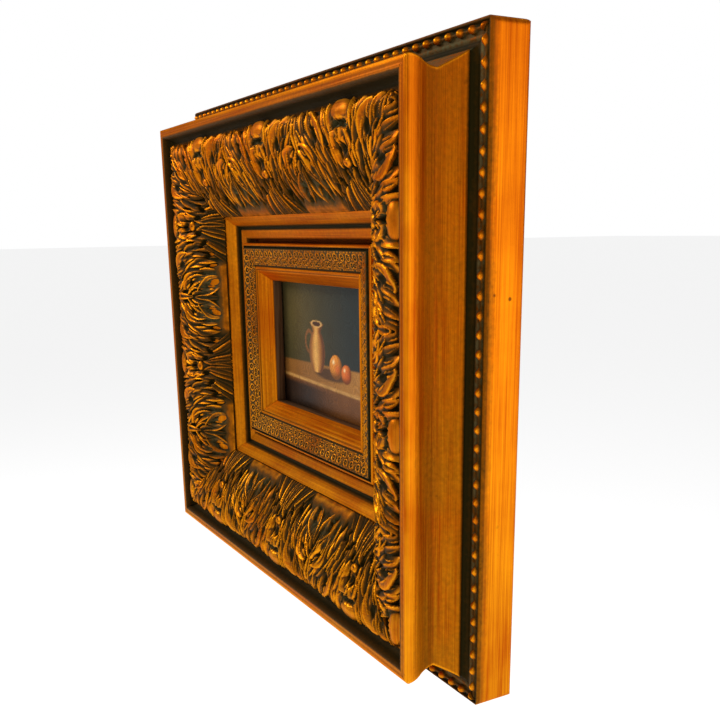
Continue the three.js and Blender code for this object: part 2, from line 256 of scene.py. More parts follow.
def acanthus(along, across):
    """
    Carving height over the band's ground, in millimetres, and how well each place kept its gold, 0 to 1.
    `along` is measured from the middle of a big leaf and `across` from the lip side. Both halves of a leaf
    are alike, but for a slow sway of the hand.
    """
    hand = np.random.default_rng(11)
    x = (along + REPEAT / 2) % REPEAT - REPEAT / 2
    x = x + 0.9 * np.sin(0.23 * x + 0.9) * np.sin(0.12 * across) * np.cos(np.pi * x / REPEAT)
    x = np.abs(x)
    y = across + 0.7 * np.sin(0.5 * x + 0.4)
    middle = REPEAT / 2
    height = -1.5 + 0.25 * np.cos(2 * np.pi * (x + 0.2 * y) / 1.9)
    gold = np.zeros_like(height)

    def lay(piece, tone=None):
        """Lays a piece over what is there, with its own share of gold."""
        nonlocal height, gold
        tone = hand.uniform(0, 1) if tone is None else tone
        gold = np.where(piece > height, tone, gold)
        height = np.maximum(height, piece)

    def sink(centre, radii, depth, turn=0.0):
        """Sinks a hollow."""
        nonlocal height
        height = height - pit(x, y, centre, radii, depth, turn)

    def stroke(tip, bend, root, girth, rise, lean=1, girths=BLADE_GIRTH, hook=0.0, tone=None):
        """One blade, whose tip may hook over sideways."""
        path = along_curve(tip, bend, root, 1 - STATIONS)
        path[:, 0] += hook * STATIONS**4
        lay(blade(x, y, path, girth, rise, lean, girths), tone)

    def row(count, start, step, low, high, girth, rise, spread, hook):
        """A row of blades from `high` up to `low`, no two quite alike."""
        for k in range(count):
            jitter = hand.uniform(-0.8, 0.8)
            shift = hand.uniform(-1.6, 1.6)
            size, lift = hand.uniform(0.8, 1.25, 2)
            root_x = start + step * k
            tip_x = root_x * spread + jitter
            bend_x = 0.35 * tip_x + 0.65 * root_x - 1.0
            stroke(
                (tip_x, low + shift), (bend_x, 0.5 * (low + high) + shift), (root_x, high + 0.6 * shift),
                girth * size, rise * lift, 1 if k % 3 else -1, hook=hook,
            )

    lay(1.5 * np.exp(-(((y - 47.0) / 5.0) ** 2)) * np.clip((x - 19) / 6, 0, 1) - 0.4 + BELOW * (x < 19), 0.75)
    for k in range(8):
        tip, rise = (0.6 + 1.5 * k, 31.5 + 0.9 * (k % 3)), 1.6 + 0.4 * (k % 3)
        stroke(tip, (0.2 + 1.9 * k, 40), (2.0 + 3.2 * k, 51), 1.35, rise)
    for k in range(7):
        stroke((2.2 + 1.9 * k, 37 + k % 2), (2.0 + 2.2 * k, 43), (3.4 + 3.2 * k, 51), 0.6, 1.3, -1)
    row(10, 2.0, 4.2, 28.0, 42.0, 1.5, 1.8, 0.98, 0.6)
    row(13, 1.2, 3.3, 22.0, 34.0, 1.5, 2.1, 1.0, 1.2)
    row(11, 1.6, 3.4, 16.0, 27.5, 1.7, 2.4, 1.16, 1.6)
    row(11, 2.2, 3.3, 9.5, 21.0, 1.7, 2.5, 1.2, 1.6)
    row(9, 4.6, 4.2, 1.0, 14.5, 2.3, 2.7, 1.1, 1.8)
    row(8, 7.4, 4.5, 3.6, 12.0, 1.0, 2.4, 1.05, 1.2)

    stroke((27.0, 4.5), (14.0, 6.0), (19.4, 27), 3.0, 3.2, -1, LOBE_GIRTH, tone=0.9)
    stroke((38.0, 15.5), (28.0, 15.0), (29.6, 30), 2.6, 2.9, -1, LOBE_GIRTH, tone=0.95)
    sink((23.0, 11.5), (1.9, 3.4), 2.8, 0.3)
    sink((35.2, 21.6), (1.8, 2.5), 2.6)
    stroke((39.0, 20.0), (34, 24.0), (31.6, 32), 1.4, 2.7, tone=1.0)
    sink((9.6, 33.4), (1.5, 2.8), 2.4, 0.6)
    sink((17.6, 37.6), (1.3, 4.2), 2.4, 0.35)
    sink((24.2, 38.6), (1.2, 3.8), 2.0, 0.1)

    sink((34.8, 37.2), (2.5, 5.8), 2.6, 0.45)
    stroke((40.4, 27), (28.8, 31), (31.0, 44.5), 1.2, 2.3, -1, tone=0.7)
    stroke((42.0, 31), (41.6, 40), (34.6, 45.2), 1.1, 2.0, tone=0.7)
    stroke((middle, 24), (middle, 33), (middle, 44), 1.9, 2.2, 0, tone=0.3)
    stroke((middle, 6.5), (middle, 11), (middle, 20), 2.4, 3.1, 0, LOBE_GIRTH, tone=1.0)

    stroke((3.0, 10.8), (8.2, 13.0), (6.4, 23), 2.4, 3.0, 1, LOBE_GIRTH, tone=1.0)
    stroke((8.4, 19.5), (4.4, 23.0), (4.0, 31), 1.7, 2.6, 1, tone=0.9)
    stroke((0, 33), (0, 40), (0, 50.5), 1.4, 2.0, 0)
    lay(knob(x, y, (0.0, 25.8), (3.2, 2.4), 2.4, 0.4), 0.8)
    sink((0, 19.6), (2.7, 3.0), 2.8)
    sink((4.6, 29.4), (1.3, 2.2), 2.0)
    lay(knob(x, y, (0.0, 3.2), (8.4, 5.0), 3.3, 0.12), 0.8)
    sink((4.4, 9.8), (3.6, 1.7), 3.2)
    foot = np.clip(np.minimum(across - 0.1, BAND_WIDTH - across) / 1.0, 0, 1)
    return height * foot - 0.4 * (1 - foot), gold


# %% [markdown]
# ## The row of beads
#
# In the channel behind the rim runs a string of turned beads with a small spool between two of them. Each
# bead is the upper half of an ellipsoid, and the spool is a thin round bar that ties them together. Spheres
# placed one by one would be separate pieces, but on the object they are cut from the same wood as the rail,
# so they are a height on the channel's floor.

# %% Bead heights
BEAD_MIDDLE = -9.4
BEAD_HALF_LENGTH = 2.05
BEAD_HALF_WIDTH = 1.75
BEAD_HEIGHT = 2.7
SPOOL_RADIUS = 0.75


def beads(along, inward):
    """The higher of a row of half ellipsoids, one each BEAD_PITCH, and a thin half-round bar."""
    u = ((along + BEAD_PITCH / 2) % BEAD_PITCH - BEAD_PITCH / 2) / BEAD_HALF_LENGTH
    v = (inward - BEAD_MIDDLE) / BEAD_HALF_WIDTH
    bead = BEAD_HEIGHT * np.sqrt(np.clip(1 - u * u - v * v, 0, 1))
    bar = np.sqrt(np.clip(SPOOL_RADIUS**2 - (inward - BEAD_MIDDLE) ** 2, 0, None)) * 1.2
    return np.maximum(bead, bar)


# %% [markdown]
# ## From a section to a rail
#
# A rail is its section carried along a straight line and cut off at 45 degrees at both ends, so each row is
# as long as its own place allows: rows near the picture are shorter than rows at the rim. The grid's corner
# rows at the rim are pulled in a little, because the corner of the real frame is worn round.

# %% Building a rail
SIDES = {
    "top": (LIP_HALF_HEIGHT, LIP_HALF_WIDTH, 3.0),
    "bottom": (LIP_HALF_HEIGHT, LIP_HALF_WIDTH, -3.0),
    "left": (LIP_HALF_WIDTH, LIP_HALF_HEIGHT, -19.0),
    "right": (LIP_HALF_WIDTH, LIP_HALF_HEIGHT, 19.0),
}


def to_frame(side, along, inward, back):
    """Turns (along, inward, back) of a rail into x, y, z of the frame, in metres."""
    out = SIDES[side][0] - inward
    x, z = {
        "top": (along, out),
        "bottom": (-along, -out),
        "left": (-out, along),
        "right": (out, -along),
    }[side]
    return np.stack([x * MM, (back - DEPTH) * MM, (z + CENTRE_Z) * MM], -1)


def mesh_from_grid(name, points):
    """A mesh from a (rows, columns, 3) grid that closes on itself around the rows, with its ends filled."""
    rows, columns = points.shape[:2]
    index = np.arange(rows * columns).reshape(rows, columns)
    following = np.roll(index, -1, axis=0)
    quads = np.stack([index[:, :-1], following[:, :-1], following[:, 1:], index[:, 1:]], -1).reshape(-1, 4)
    mesh = bpy.data.meshes.new(name)
    mesh.from_pydata(points.reshape(-1, 3).tolist(), [], quads.tolist() + [
        index[:, -1].tolist(), index[::-1, 0].tolist()
    ])
    mesh.update()
    return mesh


def shade(mesh, flat_faces=()):
    """Smooth shading everywhere but on the given faces."""
    mesh.shade_smooth()
    sharp = np.zeros(len(mesh.polygons), bool)
    sharp[list(flat_faces)] = True
    mesh.attributes.new("sharp_face", "BOOLEAN", "FACE").data.foreach_set("value", sharp)


def paint_run(mesh, points, along):
    """
    A UV map named "run": the first number is the way along the rail, the second the way around its section,
    both in metres, so that grain and wear follow the moulding. The corners of each face come in the order of
    mesh_from_grid.
    """
    rows, columns = points.shape[:2]
    middle = points[:, columns // 2]
    steps = np.linalg.norm(np.roll(middle, -1, axis=0) - middle, axis=1)
    around = np.concatenate([[0], np.cumsum(steps)])
    u = along * MM
    next_u = np.roll(u, -1, 0)
    corner_u = np.stack([u[:, :-1], next_u[:, :-1], next_u[:, 1:], u[:, 1:]], -1)
    low = np.repeat(around[:-1, None], columns - 1, 1)
    high = np.repeat(around[1:, None], columns - 1, 1)
    corner_v = np.stack([low, high, high, low], -1)
    caps = np.zeros((2 * rows, 2))
    quads = np.stack([corner_u, corner_v], -1).reshape(-1, 2)
    corners = np.concatenate([quads, caps]).astype(np.float32)
    mesh.uv_layers.new(name="run").data.foreach_set("uv", corners.ravel())


def softened(values, reach):
    """The mean of each value's neighbours within `reach` cells both ways, as two running means."""
    out = values
    for axis in (0, 1):
        first, last = np.take(out, [0], axis), np.take(out, [-1], axis)
        padded = np.concatenate([first] * reach + [out] + [last] * reach, axis)
        total = np.cumsum(np.concatenate([np.zeros_like(first), padded], axis), axis)
        count = 2 * reach + 1
        size = out.shape[axis]
        upper = np.take(total, range(count, count + size), axis)
        lower = np.take(total, range(size), axis)
        out = (upper - lower) / count
    return out


def rail_grid(side, section, columns):
    """`along` for every row and column: each row runs from mitre to mitre at its own place."""
    half = SIDES[side][1] - section[:, 0] - MITRE_GAP
    return half[:, None] * np.linspace(-1, 1, columns)[None, :]


def meet_mitres(side, along, section, inward):
    """Slides the points near both ends so that carved ones end on the mitre too."""
    old = (SIDES[side][1] - section[:, 0] - MITRE_GAP)[:, None]
    new = SIDES[side][1] - inward - MITRE_GAP
    near_end = np.clip((np.abs(along) - old + 6) / 6, 0, 1) ** 2
    return along + np.sign(along) * (new - old) * near_end


# %% The plain lengths of the outer moulding
# how much painted shade and old dirt darken each plain member: 0 is clean gilding, 1 is a dark crevice
MEMBER_DIRT_AND_SHADE = {
    "rim": 0.4, "channel_wall": 0.9, "channel": 1.0, "dust_line": 0.5, "channel_end": 1.0, "stripe": 0.9,
    "notch": 1.0, "flare": 0.22, "neck": 0.3, "brow": 0.1, "lip": 0.22, "lip_back": 0.75, "groove": 0.95,
    "fillet": 0.3, "gutter": 1.0, "step": 0.2, "inner_wall": 0.6,
}
SETTLED_DUST = {"top": {"flare": 0.75, "neck": 0.6, "notch": 0.5}}
END_SPACING = np.concatenate([np.linspace(0, 0.03, 9)[:-1], np.linspace(0.03, 1, 24)])
OUTER_SPACING = np.concatenate([END_SPACING - 1, 1 - END_SPACING[-2::-1]])


def keep(mesh, points, along, **numbers):
    """Stores the named numbers on the vertices, nought where none is given, and finishes the mesh."""
    for name in ("dirt", "crest", "dust", "worn", "bare"):
        values = numbers.get(name, np.zeros_like(along))
        layer = mesh.attributes.new(name, "FLOAT", "POINT")
        layer.data.foreach_set("value", values.astype(np.float32).ravel())
    paint_run(mesh, points, along)
    shade(mesh, (len(mesh.polygons) - 2, len(mesh.polygons) - 1))
    return mesh


def levels(spans, along, values):
    """One number for each vertex from a table of members, softened a little from row to row."""
    out = np.zeros_like(along)
    for name, level in values.items():
        out[spans[name]] = level
    return softened(out, 1)


def outer_moulding(side):
    """One plain length of the outer moulding, its rim corners worn round."""
    along = (SIDES[side][1] - outer_rows[:, :1] - MITRE_GAP) * OUTER_SPACING[None, :]
    inward = np.repeat(outer_rows[:, :1], along.shape[1], 1)
    back = np.repeat(outer_rows[:, 1:], along.shape[1], 1)
    points = to_frame(side, along, inward, back)
    worn_corner(points)
    mesh = mesh_from_grid(f"outer_moulding_{side}", points)
    # the darkening is old dirt together with painted shade in the recessed members; the bright share on the
    # lip edge, the fillet and the mitre edges is rubbed gold together with a painted highlight
    return keep(
        mesh, points, along,
        dirt=levels(outer_spans, along, MEMBER_DIRT_AND_SHADE),
        crest=rubbed_highlit_mitre(along) + levels(outer_spans, along, {"lip_edge": 0.5, "fillet": 0.3}),
        dust=levels(outer_spans, along, {"dust_line": 1.0, **SETTLED_DUST.get(side, {})}),
        worn=levels(outer_spans, along, {"lip_back": 0.35, "groove": 0.2}),
        bare=levels(outer_spans, along, {"back": 1.0, "rebate": 1.0}),
    )


def rubbed_highlit_mitre(along):
    """1 on the outer members' mitre edges, where the corner stands out, is rubbed and gets a painted
    highlight, and 0 elsewhere.
    """
    to_mitre = along[:, -1:] - np.abs(along)
    outside = np.zeros((len(along), 1))
    for name in ("side", "rim", "flare", "neck", "brow", "lip_edge"):
        outside[outer_spans[name]] = 1
    return outside * np.exp(-((to_mitre / 0.7) ** 2))


def worn_corner(points):
    """Draws points outside a quarter circle at each corner of the rim back onto it, in place."""
    radius = RIM_CORNER_RADIUS * MM
    hub = np.array([LIP_HALF_WIDTH + RIM_REACH, LIP_HALF_HEIGHT + RIM_REACH]) * MM - radius
    x, z = points[..., 0], points[..., 2] - CENTRE_Z * MM
    dx, dz = np.abs(x) - hub[0], np.abs(z) - hub[1]
    far = np.hypot(dx, dz)
    outside = (dx > 0) & (dz > 0) & (far > radius)
    shrink = np.where(outside, radius / np.maximum(far, 1e-9), 1)
    points[..., 0] = np.where(outside, np.sign(x) * (hub[0] + dx * shrink), x)
    points[..., 2] = np.where(outside, np.sign(z) * (hub[1] + dz * shrink), z) + CENTRE_Z * MM


def place(mesh, node):
    """Puts the mesh in the scene at the origin, where it stands for the CAD node."""
    piece = bpy.data.objects.new(mesh.name, mesh)
    bpy.context.scene.collection.objects.link(piece)
    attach(piece, "root")
    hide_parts(node)
    print(piece.name, sum(len(p.vertices) - 2 for p in mesh.polygons), "triangles")
    return piece


outer_pieces = [place(outer_moulding(side), f"outer_rail_{side}") for side in SIDES]

# %% The carved bands
BAND_COLUMNS = {"top": 600, "bottom": 600, "left": 540, "right": 540}
SLAB_DEPTH = 2.2
UNDERSIDE_STEP = 39
BEHIND_LIP = 0.1
underside = (band_points - SLAB_DEPTH * band_normals)[::-UNDERSIDE_STEP]
band_section = np.concatenate([band_points, underside])


def carved_band(side):
    """The acanthus over the band's ground, as a thin slab that is sunk into the moulding."""
    columns = BAND_COLUMNS[side]
    along = rail_grid(side, band_section, columns)
    across = np.repeat(np.linspace(0, BAND_WIDTH, BAND_ROWS)[:, None], columns, 1)
    height = np.full(along.shape, -SLAB_DEPTH)
    height[:BAND_ROWS], gold = acanthus(along[:BAND_ROWS] - SIDES[side][2], across)
    top, carved = slice(0, BAND_ROWS), height[:BAND_ROWS]
    inward = np.repeat(band_section[:, :1], columns, 1)
    back = np.repeat(band_section[:, 1:], columns, 1)
    inward[top] += band_normals[:, :1] * carved
    back[top] = np.maximum(back[top] + band_normals[:, 1:] * carved, BEHIND_LIP)
    new_along = meet_mitres(side, along, band_section, inward)
    points = to_frame(side, new_along, inward, back)
    mesh = mesh_from_grid(f"acanthus_band_{side}", points)

    edges = carved - softened(softened(carved, 2), 2)
    hollow = softened(softened(carved, 7), 7) - carved
    dirt, crest, dust, worn = (np.zeros_like(along) for _ in range(4))
    # darker where the relief is low and in its hollows, painted shade together with old dirt, and darker
    # along the middle of the band
    dirt[top] = 0.66 - 0.42 * gold
    dirt[top] += 0.6 * np.clip((1.6 - carved) / 2.4, 0, 1)
    dirt[top] += 0.5 * np.clip(hollow / 1.5, -0.4, 1)
    dirt[top] += 0.16 * np.exp(-(((across - 31) / 9) ** 2))
    # painted highlight with rubbed gold on the raised edges, and painted shade just beside them
    crest[top] = np.clip(edges / 0.5, -1, 1) * (0.45 + 0.55 * gold)
    beside = np.abs((along[top] - SIDES[side][2]) % REPEAT - REPEAT / 2)
    dust[top] = 0.9 * np.exp(-(((beside - 9) / 7) ** 2) - ((across - 35) / 8) ** 2)
    dust[top] *= np.clip(1.4 - carved, 0, 1)
    dust[top] += 0.8 * np.exp(-(((REPEAT / 2 - beside - 4) / 4) ** 2) - ((across - 10) / 3) ** 2)
    worn[top] = 0.6 * np.clip(1.2 - across / 6, 0, 1)
    return keep(mesh, points, new_along, dirt=dirt, crest=crest, dust=dust, worn=worn)


outer_pieces += [place(carved_band(side), f"outer_rail_{side}") for side in SIDES]

# %% The strings of beads
BEAD_FOOT_HALF_WIDTH = 1.9
BEAD_FOOT_DEPTH = 1.0
BEAD_SINK = 0.05
BEAD_COLUMNS = {"top": 340, "bottom": 340, "left": 304, "right": 304}
foot_from, foot_to = BEAD_MIDDLE - BEAD_FOOT_HALF_WIDTH, BEAD_MIDDLE + BEAD_FOOT_HALF_WIDTH
foot_back = CHANNEL_FLOOR + BEAD_FOOT_DEPTH
bead_section = np.concatenate([
    straight([(foot_from, CHANNEL_FLOOR), (foot_to, CHANNEL_FLOOR)], 15),
    [(foot_to, foot_back), (foot_from, foot_back)],
])


def bead_string(side):
    """The beads and spools of one rail, from mitre to mitre, on a foot that is sunk into the channel."""
    columns = BEAD_COLUMNS[side]
    along = rail_grid(side, bead_section, columns)
    inward = np.repeat(bead_section[:, :1], columns, 1)
    height = beads(along, inward) * (bead_section[:, 1:] == CHANNEL_FLOOR)
    points = to_frame(side, along, inward, bead_section[:, 1:] - height + BEAD_SINK)
    mesh = mesh_from_grid(f"bead_string_{side}", points)
    # painted shade darkens the beads' lower sides and the channel floor between them, and a painted highlight
    # brightens their tops
    return keep(
        mesh, points, along,
        dirt=np.clip((1.9 - height) / 1.9, 0, 1),
        crest=np.clip((height - 1.7) / 0.9, 0, 1),
        dust=0.5 * np.clip(1 - height / 1.5, 0, 1),
    )


outer_pieces += [place(bead_string(side), f"outer_rail_{side}") for side in SIDES]

# %% [markdown]
# ## The inner frame
#
# The narrow frame around the picture is let in from behind. Its face has a small round, a band of little
# leaves pressed in composition, a thin bead, and a plain slope down to the picture that frame makers call
# the sight edge.

# %% The inner section
inner_rows, inner_spans = joined([
    ("flange", straight([(61.1, 44.4), (61.1, 36.0), (69.4, 36.0)], 4)),
    ("outer_wall", straight([(69.4, 36.0), (69.4, 26.0)], 5)),
    ("edge", bow((69.4, 26.0), (69.4, 24.3), (71.0, 24.4), 7)),
    ("quirk", straight([(71.0, 24.5), (71.2, 25.7), (71.9, 25.7), (72.1, 24.6)], 5)),
    ("leaves", straight([(72.2, 24.0), (82.2, 27.1)], 40)),
    ("second_quirk", straight([(82.2, 27.1), (82.6, 27.5), (82.9, 26.7)], 3)),
    ("thin_bead", bow((82.9, 26.7), (83.6, 25.9), (84.3, 26.6), 5)),
    ("turn", straight([(84.3, 26.6), (84.6, 27.1), (84.9, 27.0)], 3)),
    ("slope", straight([(84.9, 27.0), (87.9, 30.2), (90.7, 33.5)], 9)),
    ("sight_edge", bow((90.7, 33.5), (90.9, 33.7), (90.9, 34.4), 3)),
    ("sight_wall", straight([(90.9, 34.4), (90.9, 40.6), (87.4, 40.6), (87.4, 44.4), (61.1, 44.4)], 8)),
])
print(len(inner_rows), "rows around the inner moulding")

# %% The small leaves
SMALL_REPEAT = 13.0


def small_leaves(along, u):
    """
    Little leaves and scrolls: ridges of cosine shape on a slant that turns at each leaf's middle, with round
    scrolls laid over them, each a ring of Gaussian section about a small boss. u is 0 to 1 across the band.
    """
    x = np.abs((along + SMALL_REPEAT / 2) % SMALL_REPEAT - SMALL_REPEAT / 2)
    slant = x + 2.4 * (u - 0.5) + 1.3 * np.sin(2 * np.pi * u + 0.5 * x)
    height = 0.25 + 0.45 * (0.5 + 0.5 * np.cos(2 * np.pi * slant / 1.7)) ** 0.8
    for centre, radius in (((3.0, 3.1), 2.3), ((5.2, 7.0), 1.9), ((0.2, 7.4), 1.5)):
        ring = np.hypot(x - centre[0], 10 * u - centre[1]) / radius
        scroll = 0.95 * np.exp(-(((ring - 0.78) / 0.17) ** 2)) + 0.8 * np.exp(-((ring / 0.25) ** 2))
        height = np.where(ring < 1, np.maximum(scroll, 0.1), height)
    return height * np.clip(np.minimum(u, 1 - u) / 0.05, 0, 1)


# %% The four inner rails
INNER_COLUMNS = {"top": 240, "bottom": 240, "left": 200, "right": 200}
inner_normals = np.gradient(inner_rows, axis=0)
inner_normals = np.stack([inner_normals[:, 1], -inner_normals[:, 0]], 1)
inner_normals /= np.maximum(np.hypot(*inner_normals.T), 1e-9)[:, None]


def inner_rail(side):
    """One inner rail as a fine mesh, with the same stored numbers as an outer rail."""
    columns = INNER_COLUMNS[side]
    along = rail_grid(side, inner_rows, columns)
    leaves = inner_spans["leaves"]
    u = np.repeat(np.linspace(0, 1, leaves.stop - leaves.start)[:, None], columns, 1)
    height = np.zeros_like(along)
    height[leaves] = small_leaves(along[leaves], u)
    inward = inner_rows[:, :1] + inner_normals[:, :1] * height
    back = inner_rows[:, 1:] + inner_normals[:, 1:] * height
    new_along = meet_mitres(side, along, inner_rows, inward)
    points = to_frame(side, new_along, inward, back)
    mesh = mesh_from_grid(f"inner_moulding_{side}", points)

    # painted shade together with dirt darkens the quirks, the turn, the slope a little and the low parts of
    # the small leaves
    dirt = np.zeros_like(along)
    for name, level in (("quirk", 1.0), ("second_quirk", 0.8), ("turn", 0.4), ("slope", 0.12)):
        dirt[inner_spans[name]] = level
    dirt[leaves] = 0.2 + 0.6 * np.clip((0.8 - height[leaves]) / 0.8, 0, 1)
    # painted highlight on the raised edges of the small leaves, painted shade beside them
    crest = np.zeros_like(along)
    crest[leaves] = np.clip((height[leaves] - softened(height[leaves], 3)) / 0.35, -1, 1)
    dust = np.zeros_like(along)
    dust[leaves] = 0.3
    bare = np.zeros_like(along)
    for name in ("flange", "sight_wall"):
        bare[inner_spans[name]] = 1.0
    return keep(mesh, points, new_along, dirt=dirt, crest=crest, dust=dust, bare=bare)


inner_pieces = [place(inner_rail(side), f"inner_rail_{side}") for side in SIDES]

# %% [markdown]
# ## The painting
#
# The picture is a dark little still life in oil: a clay jug and two fruits on the edge of a table. A picture
# file would be the quick way, but paint has a surface too, so the panel is a fine grid. Each vertex takes
# its colour from areas with soft edges, laid over one another from back to front as a painter would, and
# thick light paint stands a little higher than thin dark paint.

# %% Areas of paint
PANEL_INWARD = 87.7
UNDER_SIGHT_EDGE = 3.4
PANEL_HALF_WIDTH = LIP_HALF_WIDTH - PANEL_INWARD
PANEL_HALF_HEIGHT = LIP_HALF_HEIGHT - PANEL_INWARD
PANEL_FRONT, PANEL_BACK = 40.9, 43.9
PANEL_GRID = (130, 192)


def soft_step(value, edge, blur):
    """0 below the edge and 1 above it, with a smooth change over `blur` on both sides."""
    t = np.clip((value - edge) / (2 * blur) + 0.5, 0, 1)
    return t * t * (3 - 2 * t)


def over(picture, colour, cover):
    """Lays a colour over the picture where `cover` is 1."""
    return picture * (1 - cover[..., None]) + np.array(colour) * cover[..., None]


def still_life(x, z):
    """Linear colours at x, z in millimetres from the picture's middle."""
    ground = np.zeros(x.shape + (3,)) + np.array([0.050, 0.040, 0.014])
    ground = over(ground, (0.016, 0.022, 0.020), soft_step(x, 4, 30))
    ground = over(ground, (0.085, 0.062, 0.018), soft_step(-np.hypot(x + 38, z - 18), -16, 18))
    table_top = -9.0 + 0.02 * x
    table_edge = -21.0 - 0.03 * x
    picture = over(ground, (0.23, 0.092, 0.018), soft_step(-z, -table_top, 0.5))
    picture = over(picture, (0.37, 0.16, 0.032), soft_step(-z, -table_top, 0.5) * soft_step(x, 0, 42))
    picture = over(picture, (0.50, 0.25, 0.065), soft_step(-np.abs(z - table_edge), -0.9, 0.5))
    picture = over(picture, (0.16, 0.055, 0.012), soft_step(-z, -table_edge + 1.0, 0.6))
    picture = over(picture, (0.022, 0.011, 0.006), soft_step(-z, -table_edge + 2.5, 2) * soft_step(-x, 4, 26))
    shade_of_jug = np.hypot((x - 4) / 20, (z + 13.6) / 3.4)
    picture = over(picture, (0.050, 0.020, 0.008), 0.9 * soft_step(-shade_of_jug, -1, 0.25))

    jug_x, jug_z = x + 13.0, z + 0.5
    girth = 9.6 * np.sqrt(np.clip(1 - ((jug_z + 2.0) / 13.0) ** 2, 0, 1))
    girth = np.where(jug_z > 6.4, np.maximum(girth, 4.6 + 0.12 * (jug_z - 8.5) ** 2), girth)
    inside = soft_step(girth - np.abs(jug_x), 0, 0.35)
    inside = inside * soft_step(-jug_z, -14.2, 0.3) * soft_step(jug_z, -13.4, 0.4)
    turn = np.clip(jug_x / np.maximum(girth, 0.5), -1, 1)
    handle = np.abs(np.hypot((jug_x + 9.4) / 0.8, jug_z - 3.4) - 6.0)
    beside_jug = soft_step(-jug_x, 4.5, 0.5)
    picture = over(picture, (0.20, 0.075, 0.020), soft_step(-handle, -1.1, 0.35) * beside_jug)
    picture = over(picture, (0.42, 0.155, 0.030), inside)
    picture = over(picture, (0.70, 0.36, 0.085), inside * np.exp(-(((turn + 0.15) / 0.36) ** 2)))
    picture = over(picture, (0.10, 0.030, 0.010), inside * soft_step(turn, 0.55, 0.35))
    picture = over(picture, (0.16, 0.060, 0.020), inside * soft_step(-turn, 0.7, 0.25) * 0.8)
    mouth = np.hypot(jug_x / 5.6, (jug_z - 14.0) / 1.3)
    picture = over(picture, (0.060, 0.022, 0.010), soft_step(-mouth, -1, 0.15))
    mouth_edge = np.abs(np.hypot(jug_x / 6.0, (jug_z - 14.0) / 1.7) - 1)
    picture = over(picture, (0.62, 0.34, 0.11), soft_step(-mouth_edge, -0.16, 0.1))

    for centre_x, centre_z, size, ripe in ((9.5, -8.6, 7.2, 0.35), (21.5, -11.2, 5.6, 0.75)):
        fruit_x, fruit_z = (x - centre_x) / size, (z - centre_z) / (size * 0.94)
        r = np.hypot(fruit_x, fruit_z)
        round_area = soft_step(-r, -1, 0.05)
        light = np.clip(1 - np.hypot(fruit_x + 0.35, fruit_z - 0.4) / 1.35, 0, 1)
        flesh = np.array([0.62, 0.27, 0.030]) * (1 - ripe) + np.array([0.58, 0.085, 0.014]) * ripe
        picture = over(picture, flesh * 0.28, round_area)
        picture = over(picture, flesh * 1.15, round_area * soft_step(light, 0.35, 0.32))
        blush = np.exp(-((fruit_x - 0.25) ** 2 + (fruit_z + 0.1) ** 2) / 0.16)
        picture = over(picture, (0.60, 0.10, 0.018), round_area * blush * 0.7)
        glint = np.exp(-((fruit_x + 0.36) ** 2 + (fruit_z - 0.42) ** 2) / 0.030)
        picture = over(picture, (0.90, 0.72, 0.36), round_area * glint)
    return picture


def brush_strokes(x, z):
    """Height of the paint in millimetres: short ripples that turn slowly from place to place."""
    turn = 0.5 * np.sin(x / 9.0) + 0.7 * np.sin(z / 7.0 + 1.3)
    across = x * np.cos(turn) + z * np.sin(turn)
    return 0.5 + 0.5 * np.sin(across * 4.1 + 2.0 * np.sin(z * 0.9 + x * 0.35))


# %% The painted panel
panel_z, panel_x = np.meshgrid(
    np.linspace(-PANEL_HALF_HEIGHT, PANEL_HALF_HEIGHT, PANEL_GRID[0]),
    np.linspace(-PANEL_HALF_WIDTH, PANEL_HALF_WIDTH, PANEL_GRID[1]),
    indexing="ij",
)
picture = still_life(panel_x, panel_z)
lightness = picture.mean(-1)
strokes = brush_strokes(panel_x, panel_z)
picture *= (0.86 + 0.28 * strokes)[..., None]
inside_sight = np.abs(panel_x) < PANEL_HALF_WIDTH - UNDER_SIGHT_EDGE
inside_sight &= np.abs(panel_z) < PANEL_HALF_HEIGHT - UNDER_SIGHT_EDGE
paint_height = inside_sight * (0.05 + 0.16 * np.clip(lightness * 3, 0, 1)) * strokes


def panel_mesh():
    """A board whose front is the painted grid, with straight edges and a plain back."""
    rows, columns = PANEL_GRID
    front = np.stack([panel_x, PANEL_FRONT - paint_height, panel_z], -1).reshape(-1, 3)
    index = np.arange(rows * columns).reshape(rows, columns)
    ring = np.concatenate([index[0, :-1], index[:-1, -1], index[-1, :0:-1], index[:0:-1, 0]])
    behind = front[ring].copy()
    behind[:, 1] = PANEL_BACK
    points = np.concatenate([front, behind])
    points = np.stack([points[:, 0] * MM, (points[:, 1] - DEPTH) * MM, (points[:, 2] + CENTRE_Z) * MM], -1)
    quads = np.stack([index[:-1, :-1], index[:-1, 1:], index[1:, 1:], index[1:, :-1]], -1).reshape(-1, 4)
    rear = len(front) + np.arange(len(ring))
    walls = np.stack([np.roll(ring, -1), ring, rear, np.roll(rear, -1)], -1)
    mesh = bpy.data.meshes.new("painted_board")
    mesh.from_pydata(points.tolist(), [], quads.tolist() + walls.tolist() + [rear[::-1].tolist()])
    mesh.update()
    colours = np.zeros((len(points), 4), np.float32)
    colours[:, 3] = 1
    colours[: len(front), :3] = picture.reshape(-1, 3)
    colours[len(front):, :3] = (0.09, 0.05, 0.025)
    mesh.attributes.new("paint", "FLOAT_COLOR", "POINT").data.foreach_set("color", colours.ravel())
    shade(mesh, range(len(quads), len(mesh.polygons)))
    return mesh


panel = place(panel_mesh(), "painted_panel")
print("painted panel:", len(panel.data.polygons), "faces")

